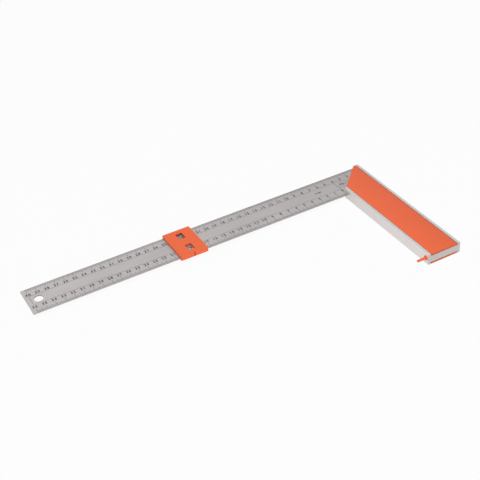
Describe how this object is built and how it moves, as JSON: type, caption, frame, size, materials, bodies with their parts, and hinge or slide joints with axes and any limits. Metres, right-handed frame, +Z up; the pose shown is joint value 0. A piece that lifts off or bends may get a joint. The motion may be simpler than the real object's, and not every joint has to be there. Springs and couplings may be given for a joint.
{
  "type": "carpenter square",
  "caption": "Carpenter square: steel rule blade riveted in a mitred aluminium stock, with inlaid covers, a sliding marker and a retractable support pin.",
  "frame": {"origin": "the inner corner, where the stock's inner face meets the blade's inner edge, on the blade's underside, so the corner of the work lies there", "axes": "+X along the blade to its tip, +Y along the stock to its far end, +Z up, out of the graduated face"},
  "size_m": [0.405, 0.1847, 0.0126],
  "materials": {
    "stock": "fine satin, anodised",
    "blade": "brushed along its length, with an etched dark scale",
    "rivets": "satin",
    "covers": "fine moulded grain",
    "orange_plastic": "smooth moulded"
  },
  "bodies": {
    "square": {"stock": "stock", "blade": "blade", "blade_rivets": "rivets", "top_cover": "covers", "bottom_cover": "covers", "pin_bush": "orange_plastic"},
    "marker": {"slider": "orange_plastic"},
    "pin": {"support_pin": "orange_plastic"}
  },
  "joints": [
    {"name": "marker_slide", "type": "slide", "parent": "square", "child": "marker", "axis": [1, 0, 0], "range_m": [-0.1744, 0.1587]},
    {"name": "pin_slide", "type": "slide", "parent": "square", "child": "pin", "axis": [1, 0, 0], "range_m": [-0.0095, 0]}
  ]
}
